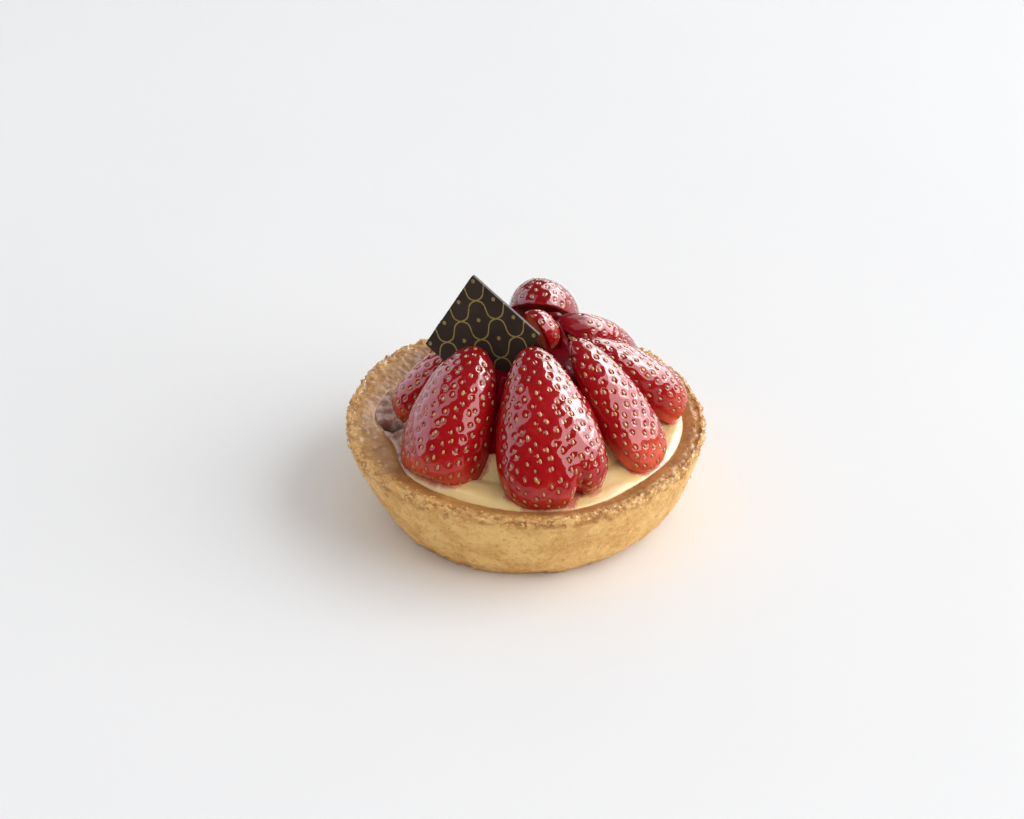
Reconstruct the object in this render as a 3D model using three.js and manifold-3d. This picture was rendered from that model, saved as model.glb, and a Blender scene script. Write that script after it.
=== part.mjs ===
// A strawberry tart: a round shortcrust case filled with pastry cream, which is mounded in the
// middle, a ring of halved strawberries leaning on the mound, one small wedge on its top, and a
// thin square chocolate plaque stuck in beside it. Millimetres, +Z up. The origin is the middle of
// the case's flat base, and the plaque faces -Y.
import * as THREE from "three";
import Module from "manifold-3d";

const wasm = await Module();
wasm.setup();

// ---- Driving dimensions, in millimetres and degrees ----
const RIM_RADIUS = 45.5; // the case's outer edge at its rim
const FRONT_BULGE = 1.8; // how much further out the rim stands at the front than at the back
const BULGE_AZIMUTH = 295; // which way that is, in degrees from +X
const CASE_HEIGHT = 25.6; // from the base to the rim's crest
const BASE_RADIUS = 35.4;
const BASE_CORNER = 1.2; // the rounded corner under the wall
const WALL_BULGE = 0.5; // the wall swells by this much between its foot and its rim
const WALL_LOPSIDED = 1.2; // and more towards +X, where the pastry was pressed in thicker
const CREST_WIDTH = 1.6; // the crumbly ridge along the rim's outer edge
const CREAM_RADIUS = 39.4; // where the rim's sloping top meets the cream
const BEVEL_DROP = 1.7; // how far the rim's top slopes down to the cream
const FLOOR_THICKNESS = 5;
const FLOOR_RADIUS = 29.5; // the inside of the case at its floor
const RIM_CRAG = 0.45; // how far the broken pastry edge stands in and out

const MOUND_LEAN = 46; // slope of the cream mound
const MOUND_FOOT_RADIUS = 32.5;
const MOUND_TOP = 43;
const CREAM_SWELL = 1.3; // the cream stands this much proud of its own edge

const PLAQUE_SIDE = 23.2;
const PLAQUE_THICKNESS = 1.3;
const GAP = 0.3; // between pieces that touch

// Each half strawberry leans on the mound with its cut face down and its tip towards the middle.
// azimuth and radius place the middle of its stem end, height is above the base, lean is the slope
// of its long axis and yaw turns it from straight inwards. deep is its thickness from the cut face
// to the top of the skin, taper makes it fuller near the stem end than near the tip, and a blunt
// below 1 squares its shoulders.
const HALVES = [
  { name: "strawberry_left", azimuth: 179.5, radius: 29.8, height: 22.6, lean: 46, yaw: 21.5,
    long: 27, wide: 16, deep: 8.6, taper: 0.3, blunt: 0.7 },
  { name: "strawberry_front_left", azimuth: 229, radius: 32.5, height: 22.2, lean: 51, yaw: 14,
    long: 34.5, wide: 22.8, deep: 12.5, taper: 0.3, blunt: 0.4 },
  { name: "strawberry_front", azimuth: 283.4, radius: 37.7, height: 22.1, lean: 45, yaw: 1.5,
    long: 40.9, wide: 27.3, deep: 12, taper: 0.4, blunt: 0.65 },
  { name: "strawberry_front_right", azimuth: 326.8, radius: 37.5, height: 22.8, lean: 47, yaw: -7.5,
    long: 37.5, wide: 16, deep: 10, taper: 0.26, blunt: 0.7 },
  { name: "strawberry_right", azimuth: 3, radius: 38, height: 23.7, lean: 43, yaw: -1.3,
    long: 32.5, wide: 14.6, deep: 10.5, taper: 0.3, blunt: 0.6 },
  { name: "strawberry_back_right", azimuth: 39.5, radius: 34.6, height: 23.2, lean: 46, yaw: 1.5,
    long: 34.5, wide: 15.6, deep: 10, taper: 0.2, blunt: 0.8 },
  { name: "strawberry_back", azimuth: 80, radius: 37.3, height: 23, lean: 49, yaw: 3,
    long: 36.5, wide: 19.4, deep: 11.5, taper: 0, blunt: 0.8 },
  { name: "strawberry_back_left", azimuth: 122, radius: 34, height: 23.2, lean: 44, yaw: 0,
    long: 32, wide: 19.6, deep: 11, taper: 0.25, blunt: 0.75 },
];
const WEDGE = { name: "strawberry_middle", azimuth: 42, radius: 6.2, height: 42.4, lean: 72, yaw: -9,
  long: 12, wide: 11, deep: 6, taper: 0.1, blunt: 1 };
const TIP_BLUNT = 0.85; // as blunt, at every tip
const STEM_CUT = 0.1; // hulling has cut off this share of the half turn that the outline makes

const SEEDS_A_HALF = 24;
const SEEDS_ON_WEDGE = 8;
const SEED = { long: 1.7, wide: 1.2, proud: 0.42 };

// ---- Mesh resolution ----
const AROUND = 72; // steps round the case and the cream
const BERRY_ROWS = 11;
const BERRY_COLUMNS = 12;

const COLOURS = {
  crust: { color: 0xc8924c, roughness: 0.75 },
  cream: { color: 0xe9cf8f, roughness: 0.35 },
  strawberry: { color: 0xa50f18, roughness: 0.2 },
  chocolate: { color: 0x241418, roughness: 0.4 },
};

// ---- Small helpers ----
const radians = THREE.MathUtils.degToRad;
const mix = THREE.MathUtils.lerp;
const TURN = 2 * Math.PI;

// A seeded source of random numbers, the same on every run.
function seededRandom(seed) {
  let state = seed;
  return () => {
    state = (state * 1664525 + 1013904223) % 4294967296;
    return state / 4294967296;
  };
}

function manifoldFrom(positions, faces) {
  const mesh = new wasm.Mesh({
    numProp: 3,
    vertProperties: new Float32Array(positions),
    triVerts: new Uint32Array(faces),
  });
  mesh.merge();
  return new wasm.Manifold(mesh);
}

// A closed surface from rings of points that all have the same count, with one point closing it
// before the first ring and one after the last.
function solidFromRings(first, rings, last) {
  const positions = [first, ...rings.flat(), last].flatMap((p) => [p.x, p.y, p.z]);
  const count = rings[0].length;
  const at = (ring, i) => 1 + ring * count + (i % count);
  const end = 1 + rings.length * count;
  const faces = [];
  for (let i = 0; i < count; i++) {
    faces.push(0, at(0, i + 1), at(0, i));
    faces.push(end, at(rings.length - 1, i), at(rings.length - 1, i + 1));
    for (let ring = 0; ring + 1 < rings.length; ring++) {
      faces.push(at(ring, i), at(ring, i + 1), at(ring + 1, i + 1));
      faces.push(at(ring, i), at(ring + 1, i + 1), at(ring + 1, i));
    }
  }
  return manifoldFrom(positions, faces);
}

function geometryOf(solid) {
  const mesh = solid.getMesh();
  const geometry = new THREE.BufferGeometry();
  geometry.setAttribute("position", new THREE.BufferAttribute(mesh.vertProperties, 3));
  geometry.setIndex(new THREE.BufferAttribute(mesh.triVerts, 1));
  geometry.computeVertexNormals();
  return geometry;
}

// ---- The pastry case and the cream ----

// The hand-pressed case isn't quite round or level: a slow wave in its radius and in its rim, and
// it bulges towards the front.
const outOfRound = (angle) => 0.5 * Math.sin(2 * angle + 0.6) + 0.35 * Math.sin(5 * angle + 2.1)
  + FRONT_BULGE * ((1 + Math.cos(angle - radians(BULGE_AZIMUTH))) / 2) ** 2;
const outOfLevel = (angle) => 0.9 * Math.sin(angle - 1) + 0.25 * Math.sin(3 * angle + 0.4);

// A level circle of points, which takes a share, 0 to 1, of those two waves.
function ringAt(radius, height, share, outwards = () => 0, upwards = () => 0) {
  return Array.from({ length: AROUND }, (_, i) => {
    const angle = (TURN * i) / AROUND;
    const r = radius + share * outOfRound(angle) + outwards(i);
    const z = height + share * outOfLevel(angle) + upwards(i);
    return new THREE.Vector3(r * Math.cos(angle), r * Math.sin(angle), z);
  });
}

// How far the wall stands outside a straight taper, t being 0 at its foot and 1 at its rim.
function wallSwell(t, angle) {
  return (WALL_BULGE + WALL_LOPSIDED * (1 + Math.cos(angle))) * Math.sin(Math.PI * t ** 0.55);
}

const CREAM_HEIGHT = CASE_HEIGHT - BEVEL_DROP;

function pastryCase() {
  const random = seededRandom(5);
  const crags = Array.from({ length: AROUND }, () => RIM_CRAG * (2 * random() - 1));
  const crag = (weight, shift) => (i) => weight * crags[(i + shift) % AROUND];
  const wallRing = (t) => ringAt(
    mix(BASE_RADIUS, RIM_RADIUS, t), mix(BASE_CORNER, CASE_HEIGHT - CREST_WIDTH, t), t,
    (i) => crag(0.35 * t, 0)(i) + wallSwell(t, (TURN * i) / AROUND),
  );
  const rings = [
    ringAt(BASE_RADIUS - BASE_CORNER, 0, 0),
    ...[0, 0.12, 0.35, 0.65, 1].map(wallRing),
    ringAt(RIM_RADIUS - 0.2 * CREST_WIDTH, CASE_HEIGHT - 0.3 * CREST_WIDTH, 1, crag(1, 0), crag(0.5, 9)),
    ringAt(RIM_RADIUS - CREST_WIDTH, CASE_HEIGHT, 1, crag(0.8, 4), crag(0.6, 13)),
    ringAt(RIM_RADIUS - 2.2 * CREST_WIDTH, CASE_HEIGHT - 0.25 * BEVEL_DROP, 1, crag(0.5, 2), crag(0.3, 5)),
    ringAt(CREAM_RADIUS, CREAM_HEIGHT, 1),
    ringAt(mix(FLOOR_RADIUS, CREAM_RADIUS, 0.9), CREAM_HEIGHT - 3, 0.9),
    ringAt(FLOOR_RADIUS, FLOOR_THICKNESS, 0),
  ];
  return solidFromRings(new THREE.Vector3(0, 0, 0), rings, new THREE.Vector3(0, 0, FLOOR_THICKNESS));
}

// Height of the cream's top: a gentle swell at its edge, then a cone with a blunt top.
function creamTop(radius) {
  const edge = Math.min(1, (CREAM_RADIUS - radius) / 6);
  const swell = CREAM_HEIGHT + CREAM_SWELL * Math.sin((Math.PI / 2) * edge);
  const cone = CREAM_HEIGHT + (MOUND_FOOT_RADIUS - radius) * Math.tan(radians(MOUND_LEAN));
  const shoulder = MOUND_TOP - 3;
  const height = Math.max(swell, cone);
  return height > shoulder ? shoulder + 3 * Math.tanh((height - shoulder) / 3) : height;
}

function creamFilling() {
  const rings = [
    ringAt(FLOOR_RADIUS - GAP, FLOOR_THICKNESS + GAP, 0),
    ringAt(mix(FLOOR_RADIUS, CREAM_RADIUS, 0.9) - GAP, CREAM_HEIGHT - 3, 0.9),
    ...[CREAM_RADIUS - GAP, 36.4, 34.5, 32.5, 28, 22, 16, 11, 7, 3].map((r, i) =>
      ringAt(r, creamTop(r), Math.max(0, 1 - i / 3))),
  ];
  return solidFromRings(new THREE.Vector3(0, 0, FLOOR_THICKNESS + GAP), rings,
    new THREE.Vector3(0, 0, creamTop(0)));
}

// ---- The strawberries ----

// The frame of a half: along its axis from the stem end to the tip, across, and out of the skin.
function halfFrame(half) {
  const foot = radians(half.azimuth);
  const heading = foot + Math.PI + radians(half.yaw);
  const lean = radians(half.lean);
  const inwards = new THREE.Vector3(Math.cos(heading), Math.sin(heading), 0);
  const up = new THREE.Vector3(0, 0, 1);
  const along = inwards.clone().multiplyScalar(Math.cos(lean)).addScaledVector(up, Math.sin(lean));
  const out = up.clone().multiplyScalar(Math.cos(lean)).addScaledVector(inwards, -Math.sin(lean));
  const across = new THREE.Vector3().crossVectors(out, along);
  const origin = new THREE.Vector3(half.radius * Math.cos(foot), half.radius * Math.sin(foot), half.height);
  return new THREE.Matrix4().makeBasis(along, across, out).setPosition(origin);
}

// A point of the skin in the half's own frame. t runs from the stem end, 0, to the tip, 1, and
// angle from one cut edge, 0, over the top to the other, 180 degrees. The girth is an egg's: the
// sine of a half turn to the power of its bluntness, made larger towards the stem end by the taper.
function skinPoint(half, t, angle, grow = 0) {
  const turn = Math.PI * mix(STEM_CUT, 1, t);
  const start = (1 - Math.cos(Math.PI * STEM_CUT)) / 2;
  const share = ((1 - Math.cos(turn)) / 2 - start) / (1 - start);
  const roundness = mix(half.blunt, TIP_BLUNT, (1 - Math.cos(turn)) / 2);
  const girth = (Math.max(0, Math.sin(turn)) ** roundness * (1 + half.taper * Math.cos(turn)))
    / (1 + 0.45 * half.taper * half.taper);
  const lump = 1 + 0.03 * Math.sin(3 * angle + half.azimuth) * Math.sin(2.4 * turn);
  return new THREE.Vector3(
    half.long * share + grow * (2 * share - 1),
    (half.wide / 2 * girth * lump + grow) * Math.cos(angle),
    (half.deep * girth * lump + grow) * Math.sin(angle) ** 0.88,
  );
}

// The body of a half: its skin, a flat stem end and a flat cut face, grown all round by grow.
function halfBody(half, grow = 0) {
  const rings = [];
  for (let row = 0; row < BERRY_ROWS; row++) {
    const t = (row / BERRY_ROWS) ** 0.9;
    const ring = Array.from({ length: BERRY_COLUMNS + 1 }, (_, i) =>
      skinPoint(half, t, (Math.PI * i) / BERRY_COLUMNS, grow));
    ring[0].z = -grow;
    ring[BERRY_COLUMNS].z = -grow;
    ring.push(new THREE.Vector3(ring[0].x, 0, -grow));
    rings.push(ring);
  }
  const stem = new THREE.Vector3(-grow, 0, 0.4 * half.deep * Math.sin(Math.PI * STEM_CUT));
  const tip = skinPoint(half, 1, Math.PI / 2, grow);
  return solidFromRings(stem, rings, tip.setZ(0)).transform(halfFrame(half).elements);
}

// A seed: a flat six-sided lozenge, sunk halfway into the skin and pointing at the tip.
function seedAt(half, t, angle) {
  const here = skinPoint(half, t, angle);
  const ahead = skinPoint(half, t + 0.02, angle).sub(here).normalize();
  const beside = skinPoint(half, t, angle + 0.05).sub(here).normalize();
  const out = new THREE.Vector3().crossVectors(beside, ahead).normalize();
  const side = new THREE.Vector3().crossVectors(out, ahead);
  const ring = Array.from({ length: 6 }, (_, i) => {
    const turn = (TURN * i) / 6;
    return here.clone().addScaledVector(ahead, (SEED.long / 2) * Math.cos(turn))
      .addScaledVector(side, (SEED.wide / 2) * Math.sin(turn));
  });
  const below = here.clone().addScaledVector(out, -SEED.proud);
  const above = here.clone().addScaledVector(out, SEED.proud);
  return solidFromRings(below, [ring], above).transform(halfFrame(half).elements);
}

// Seeds are spread evenly over the skin by the golden ratio.
const GOLDEN = (Math.sqrt(5) - 1) / 2;
function seedPlaces(count) {
  return Array.from({ length: count }, (_, i) => ({
    t: mix(0.08, 0.93, Math.acos(1 - (2 * (i + 0.5)) / count) / Math.PI),
    angle: Math.PI * mix(0.1, 0.9, (i * GOLDEN + 0.2) % 1),
  }));
}

// ---- The chocolate plaque ----

// A square standing on one corner. One edge runs from its top corner down to the left, the other
// down to the right and forwards.
const PLAQUE_TOP = new THREE.Vector3(-13, 4.4, 64.1);
const PLAQUE_LEFT_EDGE = new THREE.Vector3(-12.1, -0.8, -19.7);
const PLAQUE_RIGHT_EDGE = new THREE.Vector3(16.65, -12.7, -9.8);

function plaqueBody(grow = 0) {
  const left = PLAQUE_LEFT_EDGE.clone().normalize();
  const facing = new THREE.Vector3().crossVectors(left, PLAQUE_RIGHT_EDGE).normalize();
  const right = new THREE.Vector3().crossVectors(facing, left);
  const side = PLAQUE_SIDE + 2 * grow;
  const box = new THREE.BoxGeometry(side, side, PLAQUE_THICKNESS + 2 * grow);
  box.translate(PLAQUE_SIDE / 2, PLAQUE_SIDE / 2, -PLAQUE_THICKNESS / 2);
  box.applyMatrix4(new THREE.Matrix4().makeBasis(left, right, facing).setPosition(PLAQUE_TOP));
  return manifoldFrom(box.getAttribute("position").array, box.getIndex().array);
}

// ---- Assembly ----
const berries = [...HALVES, WEDGE];
const bodies = berries.map((half) => halfBody(half));
const roomFor = berries.map((half) => halfBody(half, GAP));
const cream = roomFor.reduce((rest, body) => rest.subtract(body), creamFilling()).subtract(plaqueBody(GAP));

// A half with those of its seeds that stand clear of every other piece.
function seededHalf(half, own) {
  const others = [cream, pastryCase(), plaqueBody(GAP), ...roomFor.filter((_, i) => i !== own)];
  const seeds = seedPlaces(half === WEDGE ? SEEDS_ON_WEDGE : SEEDS_A_HALF)
    .map(({ t, angle }) => seedAt(half, t, angle))
    .filter((seed) => others.every((other) => seed.intersect(other).isEmpty()));
  return wasm.Manifold.union([bodies[own], ...seeds]);
}

const tart = new THREE.Group();

function addMesh(name, solid, look) {
  const material = new THREE.MeshStandardMaterial({ metalness: 0, ...look });
  const mesh = new THREE.Mesh(geometryOf(solid), material);
  mesh.name = name;
  tart.add(mesh);
}

addMesh("pastry_case", pastryCase(), COLOURS.crust);
addMesh("cream", cream, COLOURS.cream);
berries.forEach((half, i) => addMesh(half.name, seededHalf(half, i), COLOURS.strawberry));
addMesh("chocolate_plaque", plaqueBody(), COLOURS.chocolate);

export default tart;
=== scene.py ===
"""A strawberry tart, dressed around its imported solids.

Each piece is a surface worked out with numpy, in millimetres, from the formulas of the solid that it stands
for, with finer relief added. The front half and the three at the right are flatter on top than their solids.
Angles are in radians and run anticlockwise from +X, seen from above.
"""
import functools
import itertools
import math
from typing import NamedTuple

import bpy
import numpy as np
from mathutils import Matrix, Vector


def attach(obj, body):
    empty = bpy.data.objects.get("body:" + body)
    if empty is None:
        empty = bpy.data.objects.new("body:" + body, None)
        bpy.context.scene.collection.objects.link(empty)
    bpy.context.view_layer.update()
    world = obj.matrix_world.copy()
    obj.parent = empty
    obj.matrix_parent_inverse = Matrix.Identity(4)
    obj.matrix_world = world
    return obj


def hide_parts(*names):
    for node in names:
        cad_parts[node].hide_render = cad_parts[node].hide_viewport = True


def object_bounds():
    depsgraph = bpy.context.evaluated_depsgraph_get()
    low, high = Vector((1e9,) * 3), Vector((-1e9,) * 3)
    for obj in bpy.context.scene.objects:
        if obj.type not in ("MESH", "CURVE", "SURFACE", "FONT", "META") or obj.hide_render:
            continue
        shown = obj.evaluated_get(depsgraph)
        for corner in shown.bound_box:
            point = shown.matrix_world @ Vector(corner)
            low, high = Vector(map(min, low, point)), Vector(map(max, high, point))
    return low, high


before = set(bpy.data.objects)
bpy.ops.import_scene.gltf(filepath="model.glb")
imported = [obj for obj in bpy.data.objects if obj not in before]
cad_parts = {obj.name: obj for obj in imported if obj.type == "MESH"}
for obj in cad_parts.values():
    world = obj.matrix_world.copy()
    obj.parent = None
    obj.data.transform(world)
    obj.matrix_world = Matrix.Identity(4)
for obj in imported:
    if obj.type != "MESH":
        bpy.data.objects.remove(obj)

CAD_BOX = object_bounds()

bl_info = {
    "name": "Strawberry Tart",
    "version": (1, 0, 0),
    "blender": (4, 5, 0),
    "location": "3D View > Sidebar > Tart",
    "description": "Bakes a shortcrust tart with pastry cream, glazed strawberries and a chocolate plaque",
    "category": "Object",
}

MM = 0.001
TURN = 2 * math.pi
GOLDEN_TURN = TURN * (math.sqrt(5) - 1) / 2

# The case and the cream, as their solids have them.
RIM_RADIUS = 45.5
FRONT_BULGE = 1.8
BULGE_AZIMUTH = math.radians(295)
CASE_HEIGHT = 25.6
BASE_RADIUS = 35.4
BASE_CORNER = 1.2
WALL_BULGE = 0.5
WALL_LOPSIDED = 1.2
CREST_WIDTH = 1.6
BEVEL_DROP = 1.7
FLOOR_THICKNESS = 5
FLOOR_RADIUS = 29.5
CREAM_HEIGHT = CASE_HEIGHT - BEVEL_DROP
CREAM_SWELL = 1.3
MOUND_SLOPE = math.tan(math.radians(46))
MOUND_FOOT_RADIUS = 32.5
MOUND_TOP = 43
MEAN_CREAM_EDGE = 40.0

# Where the cream meets the pastry, which was filled by hand: azimuth in degrees and distance from the axis.
# On the left the pastry shows further in, past a gap in the cream whose shade is painted in.
CREAM_EDGE = (
    (0, 40.9), (20, 40.2), (60, 39.6), (100, 39.0), (125, 36.8), (150, 35.6), (164, 36.6), (172, 38.2),
    (182, 38.3), (187, 37.6), (193, 35.2), (200, 34.2), (207, 34.8), (214, 37.6), (222, 39.4), (240, 39.3),
    (254, 40.3), (269, 40.7), (283, 41.3), (294, 41.3), (304, 39.8), (318, 39.3), (331, 40.4), (343, 40.5),
)

# The plaque: its top corner, the directions of its two upper edges, its size, and how round its corners and
# edges are.
PLAQUE_TOP = np.array([-13, 4.4, 64.1])
PLAQUE_LEFT_EDGE = np.array([-12.1, -0.8, -19.7])
PLAQUE_RIGHT_EDGE = np.array([16.65, -12.7, -9.8])
PLAQUE_SIDE = 23.2
PLAQUE_THICKNESS = 1.3
PLAQUE_CORNER = 0.3
PLAQUE_SOFT = 0.2

# The camera: what it looks at, from how far and how high, and its lens on a 36 mm sensor.
CAMERA_TARGET = np.array([-3.0, 0.0, 26.8])
CAMERA_DISTANCE = 700
CAMERA_ELEVATION = math.radians(33.2)
CAMERA_LENS = 96

# The softboxes: name, azimuth and height in degrees, distance and size in metres, its setting and its tint.
WHITE = (1, 1, 1)
COOL = (0.9, 0.97, 1.12)
SOFTBOXES = (
    ("key", -10, 33, 2.4, (2.8, 2.5), "key", WHITE),
    ("panel", -19, 38, 2.3, (2.4, 1.7), "panel", WHITE),
    ("window", 28, 26, 2.2, (1.8, 1.8), "window", WHITE),
    ("window_pane", 33, 36, 2.1, (0.9, 0.8), "pane", WHITE),
    ("back_wall", 65, 22, 2.2, (1.2, 1.7), "wall", WHITE),
    ("side_wall", 152, 18, 1.9, (2.4, 1.5), "side", COOL),
    ("side_ceiling", 183, 54, 1.9, (0.7, 1.15), "side", COOL),
)
FLOOR_REACH = 4000
FLOOR_DROP = 0.1

# How finely the surfaces are divided: rings or rows by columns, and the glaze's square cells, in mm.
CASE_ROWS = {"base": 5, "corner": 7, "wall": 66, "crest": 12, "slope": 26, "inside": 5}
CASE_COLUMNS = 760
BERRY_ROWS = 210
SKIN_COLUMNS, EDGE_COLUMNS, FACE_COLUMNS = 150, 5, 40
CREAM_ROWS, CREAM_COLUMNS = 110, 560
CELL = 0.25
REACH = 44


class Half(NamedTuple):
    """A halved strawberry: where its shoulder stands, how it leans, its size, and how its skin looks.

    ripeness darkens it and wavy ruffles its glaze. lobe sets back one side of its shoulder by so many mm, in
    a step between two shares of its half width. notch cuts a groove into its end at a third of that width.
    Past the share bare of its length it has no seeds. skew raises the dome at its left and lowers it at its
    right by that share of its depth, seen from outside with the tip up. press is the power of the sine that
    domes it, so that less makes it flatter on top."""

    name: str
    azimuth: float
    radius: float
    height: float
    lean: float
    yaw: float
    long: float
    wide: float
    deep: float
    taper: float
    blunt: float
    ripeness: float
    wavy: float
    lobe: float = 0.0
    step: tuple = (0.05, 0.4)
    notch: float = 0.0
    bare: float = 2.0
    skew: float = 0.0
    press: float = 0.88


# Their names, then azimuth, radius, height, lean, yaw, long, wide, deep, taper, blunt, ripeness and wavy.
HALVES = (
    Half("left", 179.5, 29.8, 22.6, 46, 21.5, 27, 16, 8.6, 0.3, 0.7, 0.5, 0.3),
    Half("front_left", 229, 32.5, 22.2, 51, 14, 34.5, 22.8, 12.5, 0.3, 0.4, 0.6, 0.2,
         lobe=-0.9, step=(-0.2, 1.0), skew=-0.2),
    Half("front", 283.4, 37.7, 22.1, 45, 1.5, 40.9, 27.3, 12, 0.4, 0.65, 0.75, 1.0,
         lobe=1.6, notch=2.4, press=0.78),
    Half("front_right", 326.8, 37.5, 22.8, 47, -7.5, 37.5, 16, 7.0, 0.26, 0.7, 0.3, 0.5, press=0.52),
    Half("right", 3, 38, 23.7, 43, -1.3, 32.5, 14.6, 9.2, 0.3, 0.6, 0.4, 0.5, press=0.55),
    Half("back_right", 39.5, 34.6, 23.2, 46, 1.5, 34.5, 15.6, 9.5, 0.2, 0.8, 0.9, 1.2, bare=0.86, press=0.65),
    Half("back", 80, 37.3, 23, 49, 3, 36.5, 19.4, 11.5, 0, 0.8, 0.85, 0.5),
    Half("back_left", 122, 34, 23.2, 44, 0, 32, 19.6, 11, 0.25, 0.75, 0.7, 0.5),
    Half("middle", 42, 6.2, 42.4, 72, -9, 12, 11, 6, 0.1, 1, 0.1, 0.3),
)

# How blunt each tip is, how much of the stem end is cut off, how round in mm the cut edge is, the area that a
# seed takes in squared spacings, and how far it keeps from the cut edge, in radians.
TIP_BLUNT = 0.85
STEM_CUT = 0.1
EDGE_RADIUS = 0.55
SEED_PACKING = 0.87
SEED_MARGIN = 0.14

# The cream: where its gap lies along Y and how deep it is, the azimuth and width of its front lobe, and for
# each end of its veil of glaze the azimuths with none and with all of it, in mm and degrees.
GAP_Y = -4.3
GAP_DEPTH = 2.2
LOBE = (246, 17)
VEIL_START = (146, 168)
VEIL_END = (226, 212)

# The glaze, in mm: how thick it coats the mound and how far from the axis, how thick its slab is, the deepest
# that it fills a cleft, how near both berries have to be, and how far out its pools are gone and still full.
GLAZE_COAT = 0.3
CROWN_RADIUS = 24
GLAZE_SLAB = 1.6
DEEPEST_POOL = 9
CLEFT_REACH = 2.4
POOLS_END = (34, 29)


# ---------------- numbers


def unit(vectors):
    """The same directions at length one."""
    return vectors / np.maximum(np.linalg.norm(vectors, axis=-1, keepdims=True), 1e-12)


def mix(a, b, share):
    """a where share is 0, b where it is 1, and in proportion between."""
    return a + (b - a) * share


def smooth(low, high, x):
    """0 below low and 1 above high, with the cubic 3x^2 - 2x^3 between."""
    x = np.clip((x - low) / (high - low), 0, 1)
    return x * x * (3 - 2 * x)


def bell(x, middle, width):
    """A bell curve, exp(-t^2) of the distance t from its middle in widths."""
    return np.exp(-(((x - middle) / width) ** 2))


def hashed(cells, seed):
    """A number from 0 to 1 for each whole-numbered cell, scrambled from its three indices and the seed."""
    mixed = cells[..., 0] * 73856093 ^ cells[..., 1] * 19349663 ^ cells[..., 2] * 83492791 ^ seed * 15485863
    mixed = (mixed ^ (mixed >> 13)) * 1274126177 & 0xFFFFFFFF
    mixed = (mixed ^ (mixed >> 16)) * 668265263 & 0xFFFFFFFF
    return ((mixed >> 8) & 0xFFFF) / 65535


def value_noise(points, size, seed):
    """Noise from -1 to 1: each cell corner's hashed number, blended over the cell by a quintic fade."""
    points = points / size
    cell = np.floor(points).astype(np.int64)
    part = points - cell
    fade = part**3 * (part * (part * 6 - 15) + 10)
    total = 0
    for corner in itertools.product((0, 1), repeat=3):
        weight = np.prod(np.where(corner, fade, 1 - fade), axis=-1)
        total = total + weight * hashed(cell + corner, seed)
    return 2 * total - 1


def cloudy(points, size, octaves, seed):
    """A sum of value noises, each half the size and half the height of the one before, about -1 to 1."""
    layers = (value_noise(points, size / 2**i, seed + i) / 2**i for i in range(octaves))
    return sum(layers) / (2 - 2 ** (1 - octaves)) * 1.4


def cell_distance(points, size, seed):
    """The distance to the nearest of one scattered point per cell, in cell widths, from 0 to about 1."""
    points = points / size
    cell = np.floor(points).astype(np.int64)
    nearest = np.full(points.shape[:-1], 9.0)
    for step in itertools.product((-1, 0, 1), repeat=3):
        near = cell + step
        spot = near + np.stack([hashed(near, seed + axis) for axis in range(3)], axis=-1)
        nearest = np.minimum(nearest, ((points - spot) ** 2).sum(-1))
    return np.sqrt(nearest)


def from_polar(radius, angle, height):
    """Points from their distance to the axis, their angle about it and their height."""
    radius, angle, height = np.broadcast_arrays(radius, angle, height)
    return np.stack([radius * np.cos(angle), radius * np.sin(angle), height], axis=-1)


def grid_normals(points):
    """Unit normals of a grid that closes on itself along its second axis, the cross product of its slopes."""
    along = np.gradient(points, axis=0)
    wrapped = np.concatenate([points[:, -1:], points, points[:, :1]], axis=1)
    around = (wrapped[:, 2:] - wrapped[:, :-2]) / 2
    return unit(np.cross(around, along))


def distances(points, others):
    """The distance from each point to each of the others, from |p|^2 + |q|^2 - 2 p.q."""
    flat = points.reshape(-1, 3)
    squares = (flat**2).sum(1)[:, None] + (others**2).sum(1) - 2 * flat @ others.T
    return np.sqrt(np.maximum(squares, 0)).reshape(points.shape[:-1] + (len(others),))


def inside_box(points):
    """The points, held a twentieth of a millimetre inside the box of the solids."""
    low, high = (np.array(corner) / MM for corner in CAD_BOX)
    return np.clip(points, low + [0.05, 0.05, 0], high - 0.05)


# ---------------- meshes


def loft(first, rings, last):
    """A closed surface from a grid of rings and a point at each end: its points, quads and triangles.

    Quads join neighbouring rings and a fan of triangles each end. The faces are turned so that the enclosed
    volume, a sixth of the sum of a.(b x c), is positive."""
    rows, columns = rings.shape[:2]
    points = np.concatenate([[first], rings.reshape(-1, 3), [last]])
    here = 1 + np.arange(rows * columns).reshape(rows, columns)
    there = np.roll(here, -1, axis=1)
    quads = np.stack([here[:-1], there[:-1], there[1:], here[1:]], axis=-1).reshape(-1, 4)
    ends = np.full(columns, len(points) - 1)
    start_fan = np.stack([there[0], here[0], 0 * ends], axis=-1)
    end_fan = np.stack([here[-1], there[-1], ends], axis=-1)
    triangles = np.concatenate([start_fan, end_fan])
    split = np.concatenate([quads[:, [0, 1, 2]], quads[:, [0, 2, 3]], triangles])
    a, b, c = np.moveaxis(points[split], 1, 0)
    if np.einsum("ij,ij->", a, np.cross(b, c)) < 0:
        quads, triangles = quads[:, ::-1], triangles[:, ::-1]
    return points, quads, triangles


def capped(grid, first, last):
    """One number per point of a lofted surface: the first end's, the grid's and the last end's."""
    return np.concatenate([[first], np.ravel(grid), [last]])


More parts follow.
